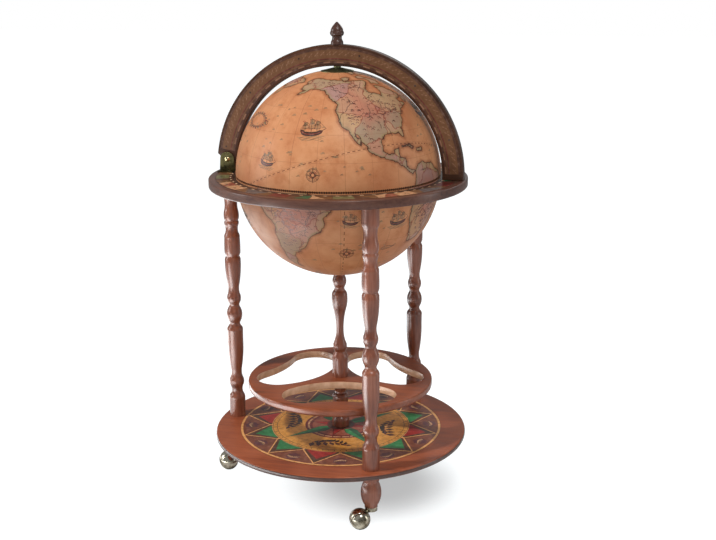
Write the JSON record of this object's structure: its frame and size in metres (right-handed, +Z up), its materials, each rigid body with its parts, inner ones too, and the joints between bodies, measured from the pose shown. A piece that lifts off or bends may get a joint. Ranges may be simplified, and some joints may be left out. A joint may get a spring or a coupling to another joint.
{
  "type": "floor globe bar",
  "caption": "Floor-standing globe on a turned wooden stand with casters: the upper half opens on a hinged arch as the lid of a bottle rack, over a holed bottle shelf.",
  "frame": {"origin": "on the floor, under the middle of the globe", "axes": "+Z up, +X from the lid's hinge across to the free foot of the arch"},
  "size_m": [0.5207, 0.513, 0.9362],
  "materials": {
    "leg_wood": "gloss lacquer over brown stain",
    "base_wood": "gloss lacquer over red-brown stain",
    "shelf_wood": "satin lacquer over brown stain",
    "ring_wood": "gloss lacquer over dark stain",
    "arch_wood": "gloss lacquer",
    "finial_wood": "gloss lacquer over dark stain",
    "rack_wood": "satin lacquer",
    "globe_paper": "printed and varnished",
    "base_paper": "printed and varnished",
    "ring_paper": "printed and varnished",
    "strip_paper": "printed and varnished",
    "caster_brass": "antique",
    "hinge_brass": "dark antique",
    "rod_steel": "zinc plated",
    "hub_plastic": "moulded"
  },
  "bodies": {
    "stand": {"leg_left": "leg_wood", "leg_front": "leg_wood", "leg_right": "leg_wood", "foot_left": "leg_wood", "foot_front": "leg_wood", "foot_right": "leg_wood", "column_lower": "leg_wood", "column_upper": "leg_wood", "base_board": "base_wood", "bottle_shelf": "shelf_wood", "horizon_ring": "ring_wood", "rack_floor": "rack_wood", "rack_plate": "rack_wood", "rack_posts": "rack_wood", "lower_hemisphere": "globe_paper", "base_print": "base_paper", "ring_print": "ring_paper", "caster_sockets": "caster_brass", "hinge_bracket": "hinge_brass", "hinge_pin": "hinge_brass", "hinge_screws": "hinge_brass", "leg_studs": "rod_steel", "column_rod": "rod_steel", "column_washers": "rod_steel", "column_nuts": "rod_steel"},
    "lid": {"meridian_arch": "arch_wood", "arch_strip_front": "strip_paper", "arch_strip_back": "strip_paper", "finial": "finial_wood", "pole_rod": "rod_steel", "pole_nut": "rod_steel"},
    "upper_globe": {"upper_hemisphere": "globe_paper", "pole_cap": "hinge_brass", "pole_hub": "hub_plastic"},
    "caster_left": {"caster_hood_left": "caster_brass"},
    "wheel_left": {"caster_wheel_left": "caster_brass"},
    "caster_front": {"caster_hood_front": "caster_brass"},
    "wheel_front": {"caster_wheel_front": "caster_brass"},
    "caster_right": {"caster_hood_right": "caster_brass"},
    "wheel_right": {"caster_wheel_right": "caster_brass"}
  },
  "joints": [
    {"name": "lid_hinge", "type": "hinge", "parent": "stand", "child": "lid", "pos_m": [-0.2259, 0, 0.6674], "axis": [0, -1, 0], "range_deg": [0, 98]},
    {"name": "globe_spin", "type": "hinge", "parent": "lid", "child": "upper_globe", "pos_m": [0, 0, 0.646], "axis": [0, 0, 1], "continuous": true},
    {"name": "caster_swivel_left", "type": "hinge", "parent": "stand", "child": "caster_left", "pos_m": [-0.226, 0, 0.04], "axis": [0, 0, 1], "continuous": true},
    {"name": "caster_roll_left", "type": "hinge", "parent": "caster_left", "child": "wheel_left", "pos_m": [-0.24368, -0.01768, 0.02031], "axis": [0.6124, -0.6124, -0.5], "continuous": true},
    {"name": "caster_swivel_front", "type": "hinge", "parent": "stand", "child": "caster_front", "pos_m": [0.113, -0.19572, 0.04], "axis": [0, 0, 1], "continuous": true},
    {"name": "caster_roll_front", "type": "hinge", "parent": "caster_front", "child": "wheel_front", "pos_m": [0.09532, -0.2134, 0.02031], "axis": [0.6124, -0.6124, -0.5], "continuous": true},
    {"name": "caster_swivel_right", "type": "hinge", "parent": "stand", "child": "caster_right", "pos_m": [0.113, 0.19572, 0.04], "axis": [0, 0, 1], "continuous": true},
    {"name": "caster_roll_right", "type": "hinge", "parent": "caster_right", "child": "wheel_right", "pos_m": [0.09532, 0.17804, 0.02031], "axis": [0.6124, -0.6124, -0.5], "continuous": true}
  ]
}
